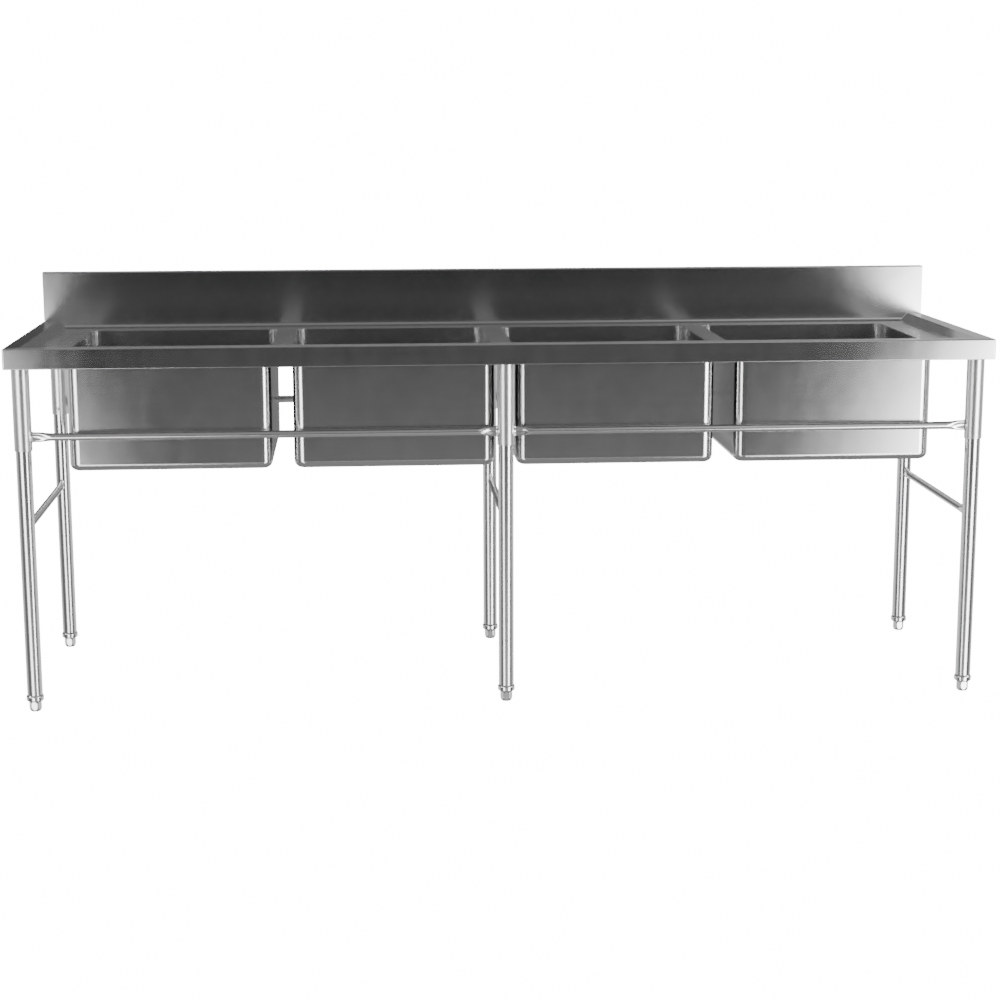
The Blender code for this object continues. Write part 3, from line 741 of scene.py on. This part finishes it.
def screw_mesh():
    """A grub screw along +Y with a pointed inner end and a hexagon recess."""
    low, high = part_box("socket_screw_front_left")
    length = high[1] - low[1]
    radius = (high[0] - low[0]) / 2
    sides = SCREW_SIDES
    profile = [(radius * 0.55, 0.0), (radius, 0.0006)]
    for turn in range(int((length - 0.0016) / SCREW_PITCH)):
        level = 0.0008 + turn * SCREW_PITCH
        profile += [(radius, level), (radius - 0.0003, level + SCREW_PITCH / 2)]
    profile += [(radius, length - 0.0006), (radius - 0.0005, length), (0.0018, length)]
    bm, uv = new_mesh()
    mouth = lathe(bm, uv, profile, sides, (True, False))[-1]
    rows = []
    for level in (length, length - SCREW_KEY_DEPTH):
        row = []
        for i in range(sides):
            turn = 2 * math.pi * i / sides
            past_corner = turn % (math.pi / 3) if i % (sides // 6) else 0.0
            reach = SCREW_KEY * math.cos(math.pi / 6) / math.cos(past_corner - math.pi / 6)
            row.append((reach * math.cos(turn), reach * math.sin(turn), level))
        rows.append(row)
    recess = loft(bm, uv, rows)
    flat_face(bm, uv, recess[-1])
    for i in range(sides):
        j = (i + 1) % sides
        bm.faces.new((mouth[i], mouth[j], recess[0][j], recess[0][i]))
    turned(bm, Matrix.Rotation(-math.pi / 2, 4, "X"))
    return mesh_of("screw", bm)


def make_screws(material):
    mesh = screw_mesh()
    for node_name in BODY_OF:
        if node_name.startswith("socket_screw"):
            x, y, z = centre(node_name)
            low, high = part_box(node_name)
            faces_rear = y > centre(node_name.replace("socket_screw", "leg"))[1]
            near = low[1] if faces_rear else high[1]
            turn = 0.0 if faces_rear else math.pi
            place(mesh, node_name + "_skin", node_name, material, (x, near, z), turn)


def make_legs(tube_metal, fitting_metal):
    """Tube legs, the collar plugged into each one's lower end, and the feet."""
    shapes = (("leg_", leg_mesh(), tube_metal), ("foot_insert_", insert_mesh(), fitting_metal),
              ("bullet_foot_", foot_mesh(), fitting_metal))
    for kind, mesh, metal in shapes:
        for node_name in BODY_OF:
            if node_name.startswith(kind) and not node_name.startswith("leg_socket"):
                x, y, _ = centre(node_name)
                place(mesh, node_name + "_skin", node_name, metal, (x, y, 0))


def leg_mesh():
    low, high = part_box("leg_front_left")
    radius = (high[0] - low[0]) / 2
    bm, uv = new_mesh()
    tube(bm, uv, radius - TUBE_WALL, radius, low[2], high[2], LEG_EDGE)
    return mesh_of("leg", bm)


def insert_mesh():
    """A round collar below the leg, with a plug that fits inside it and a bore for the foot's stud."""
    leg_low, leg_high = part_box("leg_front_left")
    radius = (leg_high[0] - leg_low[0]) / 2
    low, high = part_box("foot_insert_front_left")
    collar, collar_top = (high[0] - low[0]) / 2, leg_low[2] - GAP
    bore, plug = COLLAR_BORE, radius - TUBE_WALL - GAP
    half_way = (low[2] + high[2]) / 2
    outline = [(bore, half_way), (bore, low[2]), (collar - 0.0034, low[2]), (collar, low[2] + 0.0030),
               (collar, collar_top - 0.0035), (radius, collar_top), (plug, collar_top), (plug, high[2]),
               (bore, high[2]), (bore, half_way)]
    rounding = (0.0006, 0.0012, 0.002, 0.003, 0.0006, 0.0001, 0.0012, 0.0005)
    bm, uv = new_mesh()
    lathe(bm, uv, fillet(outline, rounding, 4), TUBE_SIDES)
    return mesh_of("insert", bm, 40)


def foot_mesh():
    """A hexagon bar with a domed, flat-soled lower end, and a threaded stud."""
    low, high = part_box("bullet_foot_front_left")
    corner, flat = (high[0] - low[0]) / 2, (high[1] - low[1]) / 2
    sole, top = FOOT_SOLE_RADIUS, FOOT_HEIGHT
    rings = [(sole - 0.0012, 0.0), (sole, 0.0003)]
    for step in range(1, 13):
        turn = math.pi / 2 * step / 12
        rings.append((sole + (corner - sole) * math.sin(turn), 0.0003 + FOOT_DOME * (1 - math.cos(turn))))
    rings += [(corner, top - 0.005), (corner - 0.0005, top - 0.0026), (corner - 0.0018, top - 0.001),
              (corner - 0.0034, top)]
    rows = []
    for limit, height in rings:
        row = []
        for i in range(FOOT_SIDES):
            turn = 2 * math.pi * i / FOOT_SIDES
            nearest = math.pi / 3 * round((turn - math.pi / 6) / (math.pi / 3)) + math.pi / 6
            hexagon = min(flat / math.cos(turn - nearest), corner - 0.0003)
            reach = min(limit, hexagon)
            row.append((reach * math.cos(turn), reach * math.sin(turn), height))
        rows.append(row)
    bm, uv = new_mesh()
    ends = loft(bm, uv, rows)
    flat_face(bm, uv, ends[0])
    flat_face(bm, uv, ends[-1])
    stud = STUD_RADIUS
    profile = [(stud, top - 0.001)]
    level = top + 0.0002
    while level + STUD_PITCH < high[2] - 0.001:
        profile += [(stud, level), (stud - STUD_THREAD_DEPTH, level + STUD_PITCH / 2)]
        level += STUD_PITCH
    profile += [(stud, level), (stud - 0.0012, high[2])]
    lathe(bm, uv, profile, 24, (False, True))
    return mesh_of("foot", bm, 24)


def pinched_row(spot, share, grow, length, hug):
    """One section of a rail: round where share is 0, pinched flat and dented where it is 1."""
    thick = RAIL_END_HALF_THICKNESS
    tall = RAIL_RADIUS + (RAIL_END_HALF_HEIGHT - RAIL_RADIUS) * share + grow
    ridge = tall - thick
    near_end = spot < 0.004 or spot > length - 0.004
    row = []
    for i in range(RAIL_SIDES):
        turn = 2 * math.pi * i / RAIL_SIDES
        cos, sin = math.cos(turn), math.sin(turn)
        side = 1 if cos > 0 else -1
        z = tall * sin
        beyond = max(abs(z) - ridge, 0.0)
        rounded = math.sqrt(max((thick + grow) ** 2 - beyond ** 2, 0.0))
        hollow = RAIL_END_WEB + (thick - RAIL_END_WEB) * (abs(z) / ridge) ** 1.5 + grow
        reach = rounded if beyond else min(hollow, rounded)
        pinched = side * reach if abs(cos) > 1e-6 else 0.0
        y = (RAIL_RADIUS + grow) * cos * (1 - share) + pinched * share
        sag = hug - math.sqrt(hug * hug - y * y) if near_end else 0.0
        row.append((spot - sag if spot < length / 2 else spot + sag, y, z))
    return row


def pinched_tube(length, hug):
    """A thin tube along X with flattened ends that stand tall, dented and welded to round posts."""
    # (place along the rail, share of the pinch, size of the weld bead)
    stations = [(0.0, 1.0, 0.0013), (0.0007, 1.0, 0.0011), (0.0018, 1.0, 0.0004), (0.003, 1.0, 0.0),
                (RAIL_FLAT, 0.98, 0.0)]
    for step in range(1, 9):
        share = step / 8
        spot = RAIL_FLAT + (RAIL_FLARE - RAIL_FLAT) * share
        stations.append((spot, 0.98 * (1 - share * share * (3 - 2 * share)), 0.0))
    stations += [(length - spot, share, bead) for spot, share, bead in reversed(stations)]
    outer = [pinched_row(spot, share, bead, length, hug) for spot, share, bead in stations]
    inner = [pinched_row(spot, share, -TUBE_WALL, length, hug) for spot, share, _ in reversed(stations)]
    bm, uv = new_mesh()
    loft(bm, uv, outer + inner + [outer[0]])
    bmesh.ops.remove_doubles(bm, verts=bm.verts, dist=0.00001)
    return mesh_of("rail", bm, 45)


def make_rails(material):
    low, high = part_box("long_rail_front_left")
    long_rail = pinched_tube(high[0] - low[0], LONG_RAIL_HUG)
    low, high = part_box("side_rail_left")
    side_rail = pinched_tube(high[1] - low[1], SIDE_RAIL_HUG)
    for node_name in BODY_OF:
        low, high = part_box(node_name)
        x, y, z = centre(node_name)
        if node_name.startswith("long_rail"):
            place(long_rail, node_name + "_skin", node_name, material, (low[0], y, z))
        elif node_name.startswith("side_rail"):
            place(side_rail, node_name + "_skin", node_name, material, (x, low[1], z), math.pi / 2)


# ---------------------------------------------------------------- studio

WHITE = 16.0
FLOOR_SIZE = 24
# Two soft boxes in front: brightness low down and high up, and how far out each starts and ends
BOX_GLOW = {"left": (6.0, 10.0), "right": (10.0, 20.0)}
BOX_REACH = {"left": (1.34, 3.80), "right": (1.50, 4.30)}
BOX_FADE, BOX_OUTER_FADE = 0.65, 0.9
BOX_DISTANCE = 3.0
BOX_LOW, BOX_HIGH = -1.2, 1.25
BOX_DIM, BOX_BRIGHT = -0.20, 0.35
# Their upright edges lean outwards, by this much for each metre above the pivot height
BOX_LEAN, BOX_PIVOT = 0.6, 0.40
# A high strip light on each side, for the glints in the bowls' corners
STRIP_GLOW = 7.0
STRIP_SPREAD = 5.0
STRIP_NEAR, STRIP_FAR = -0.6, -3.4
STRIP_LOW, STRIP_HIGH = 1.3, 3.4
STRIP_FADE = 0.3
# (bearing in degrees from the front of the sink, to the right; brightness of the room in that direction)
ROOM_HIGH = (
    (-180, 0.06), (-165, 0.045), (-150, 0.06), (-120, 0.12), (-90, 0.30), (-55, 0.45), (-12, 0.42),
    (-6, 0.29), (9, 0.29), (17, 0.85), (55, 0.85), (90, 0.50), (120, 0.45), (150, 0.70), (166, 0.60),
    (174, 0.12), (180, 0.06),
)
ROOM_TOP = tuple((bearing, 0.6 if abs(bearing) > 140 else glow) for bearing, glow in ROOM_HIGH)
ROOM_LOW = (
    (-180, 0.22), (-157, 0.25), (-140, 1.3), (-125, 1.3), (-105, 0.9), (-88, 0.45), (-76, 0.18),
    (-55, 0.14), (-20, 0.04), (0, 0.03), (20, 0.04), (55, 0.14), (76, 0.18), (88, 0.45), (105, 0.9),
    (125, 1.3), (140, 1.3), (157, 0.25), (180, 0.22),
)
GROUND = (
    (-180, 1.3), (-125, 1.2), (-105, 0.9), (-88, 0.50), (-76, 0.17), (-55, 0.15), (-28, 0.35),
    (-18, 0.64), (18, 0.64), (28, 0.35), (55, 0.15), (76, 0.17), (88, 0.50), (105, 0.9), (125, 1.2),
    (180, 1.3),
)
NADIR = 0.35
ZENITH = 0.24
# Heights of the looking direction between which the room's parts fade into each other
FLOOR_FADE = (-0.45, -0.33)
SKIRTING_FADE = (-0.245, -0.180)
WALL_FADE = (0.03, 0.10)
UPPER_FADE = (0.17, 0.25)
CEILING_FADE = (0.70, 0.93)


def make_floor():
    bpy.ops.mesh.primitive_plane_add(size=1)
    floor = bpy.context.object
    floor.name = "studio_floor"
    floor.scale = (FLOOR_SIZE, FLOOR_SIZE, 1)
    floor.visible_glossy = False
    material = bpy.data.materials.new("studio_floor")
    material.use_nodes = True
    tree = material.node_tree
    shader = tree.nodes["Principled BSDF"]
    shader.inputs["Base Color"].default_value = (0.8, 0.8, 0.8, 1)
    shader.inputs["Roughness"].default_value = 0.9
    path = node(tree, "ShaderNodeLightPath")
    clear = node(tree, "ShaderNodeBsdfTransparent")
    seen = node(tree, "ShaderNodeMixShader")
    tree.links.new(path.outputs["Is Camera Ray"], seen.inputs["Fac"])
    tree.links.new(shader.outputs["BSDF"], seen.inputs[1])
    tree.links.new(clear.outputs["BSDF"], seen.inputs[2])
    tree.links.new(seen.outputs["Shader"], tree.nodes["Material Output"].inputs["Surface"])
    floor.data.materials.append(material)


def light_panel(name, corners, glow, fade_in, fade_out):
    """A flat lit panel that the camera doesn't see, dim towards its two upright edges.

    The corners go from the first upright edge to the second and back. The glow is the brightness at and
    below BOX_DIM and at and above BOX_BRIGHT.
    """
    width = (Vector(corners[1]) - Vector(corners[0])).length
    bm, uv = new_mesh()
    face = bm.faces.new([bm.verts.new(corner) for corner in corners])
    for loop, across in zip(face.loops, (0, width, width, 0)):
        loop[uv].uv = (across, 0)
    mesh = bpy.data.meshes.new(name)
    bm.to_mesh(mesh)
    bm.free()
    panel = bpy.data.objects.new(name, mesh)
    panel.visible_camera = False
    bpy.context.scene.collection.objects.link(panel)
    material = bpy.data.materials.new(name)
    material.use_nodes = True
    tree = material.node_tree
    tree.nodes.clear()
    coords = node(tree, "ShaderNodeTexCoord")
    across = node(tree, "ShaderNodeSeparateXYZ")
    position = node(tree, "ShaderNodeSeparateXYZ")
    tree.links.new(coords.outputs["UV"], across.inputs["Vector"])
    tree.links.new(coords.outputs["Object"], position.inputs["Vector"])
    rise = remap(tree, across.outputs["X"], 0.0, 1.0, 0.0, fade_in)
    fall = remap(tree, across.outputs["X"], 1.0, 0.0, width - fade_out, width)
    shape = math_node(tree, "MULTIPLY", math_node(tree, "POWER", rise, 3.0), fall)
    strength = remap(tree, position.outputs["Z"], *glow, BOX_DIM, BOX_BRIGHT)
    emission = node(tree, "ShaderNodeEmission")
    tree.links.new(math_node(tree, "MULTIPLY", shape, strength), emission.inputs["Strength"])
    output = node(tree, "ShaderNodeOutputMaterial")
    tree.links.new(emission.outputs["Emission"], output.inputs["Surface"])
    mesh.materials.append(material)


def make_soft_boxes():
    """Two tall soft boxes in front, left and right, and a strip light high up on each side."""
    for side, sign in (("left", -1), ("right", 1)):
        inner, outer = [sign * reach for reach in BOX_REACH[side]]
        y = -BOX_DISTANCE
        corners = [(x + sign * BOX_LEAN * (z - BOX_PIVOT), y, z) for x, z in
                   ((inner, BOX_LOW), (outer, BOX_LOW), (outer, BOX_HIGH), (inner, BOX_HIGH))]
        light_panel(f"soft_box_{side}", corners, BOX_GLOW[side], BOX_FADE, BOX_OUTER_FADE)
        x = STRIP_SPREAD * sign
        corners = [(x, STRIP_FAR, STRIP_LOW), (x, STRIP_NEAR, STRIP_LOW),
                   (x, STRIP_NEAR, STRIP_HIGH), (x, STRIP_FAR, STRIP_HIGH)]
        light_panel(f"strip_light_{side}", corners, (STRIP_GLOW, STRIP_GLOW), STRIP_FADE, STRIP_FADE)


def mixed(tree, factor, first, second):
    made = node(tree, "ShaderNodeMix", data_type="FLOAT")
    for name, value in (("Factor", factor), ("A", first), ("B", second)):
        socket = made.inputs[name]
        if isinstance(value, (int, float)):
            socket.default_value = value
        else:
            tree.links.new(value, socket)
    return made.outputs["Result"]


def room_brightness(tree, share, table):
    """Brightness by bearing. The share runs from 0 to 1 once round, the sink's front in the middle."""
    ramp = node(tree, "ShaderNodeValToRGB")
    ramp.color_ramp.interpolation = "EASE"
    elements = ramp.color_ramp.elements
    elements.remove(elements[1])
    top = max(brightness for _, brightness in table)
    for i, (degrees, brightness) in enumerate(table):
        position = degrees / 360 + 0.5
        element = elements[0] if i == 0 else elements.new(position)
        element.position = position
        element.color = (*[brightness / top] * 3, 1)
    tree.links.new(share, ramp.inputs["Fac"])
    return math_node(tree, "MULTIPLY", ramp.outputs["Color"], top)


def make_world():
    """A plain room in layers, from the floor up to the ceiling, with a dark band in front of the sink."""
    world = bpy.data.worlds.new("studio")
    bpy.context.scene.world = world
    world.use_nodes = True
    tree = world.node_tree
    background = tree.nodes["Background"]
    coords = node(tree, "ShaderNodeTexCoord")
    split = node(tree, "ShaderNodeSeparateXYZ")
    tree.links.new(coords.outputs["Generated"], split.inputs["Vector"])
    x, y, z = split.outputs
    bearing = math_node(tree, "ARCTAN2", x, math_node(tree, "MULTIPLY", y, -1.0))
    share = math_node(tree, "ADD", math_node(tree, "DIVIDE", bearing, 2 * math.pi), 0.5)
    room = NADIR
    layers = ((FLOOR_FADE, GROUND), (SKIRTING_FADE, ROOM_LOW), (WALL_FADE, ROOM_HIGH),
              (UPPER_FADE, ROOM_TOP))
    for fade, table in layers:
        room = mixed(tree, remap(tree, z, 0.0, 1.0, *fade), room, room_brightness(tree, share, table))
    room = mixed(tree, remap(tree, z, 0.0, 1.0, *CEILING_FADE), room, ZENITH)
    path = node(tree, "ShaderNodeLightPath")
    tree.links.new(mixed(tree, path.outputs["Is Camera Ray"], room, WHITE), background.inputs["Strength"])
    background.inputs["Color"].default_value = (1, 1, 1, 1)


def make_camera():
    data = bpy.data.cameras.new("camera")
    data.lens = 72.055
    data.sensor_width = 36.0
    camera = bpy.data.objects.new("camera", data)
    yaw, pitch, roll = math.radians(-4.029), math.radians(10.88), math.radians(0.131)
    camera.matrix_world = (
        Matrix.Translation((-0.3556, -5.1328, 1.4453))
        @ Matrix.Rotation(yaw, 4, "Z")
        @ Matrix.Rotation(math.pi / 2 - pitch, 4, "X")
        @ Matrix.Rotation(-roll, 4, "Z")
    )
    bpy.context.scene.collection.objects.link(camera)
    bpy.context.scene.camera = camera


# ---------------------------------------------------------------- build

brushed = steel("brushed_sheet", 0.60, 0.16, 0.012, 0.75, grain=0.5)
satin = steel("bowl_satin", 0.60, 0.20, 0.012, 0.60, grain=0.2, wave=0.0006)
polished = steel("polished_tube", 0.74, 0.18, 0.01, 0.2, grain=0.15, wave=0.0)
brushed_tube = steel("socket_satin", 0.70, 0.31, 0.03, 0.0, grain=0.25, wave=0.0)
bright = steel("bright_fitting", 0.76, 0.12, 0.03, 0.2, grain=0.5, wave=0.0)
dark_screw = steel("screw_metal", 0.36, 0.35, 0.06, 0.0, wave=0.0)
make_deck(brushed)
make_backsplash(brushed)
make_bowls(satin)
make_channel(brushed)
make_drains(bright, rubber_material(), cast_brass())
make_sockets(brushed_tube)
make_screws(dark_screw)
make_legs(polished, bright)
make_rails(polished)
make_floor()
make_soft_boxes()
make_world()
make_camera()
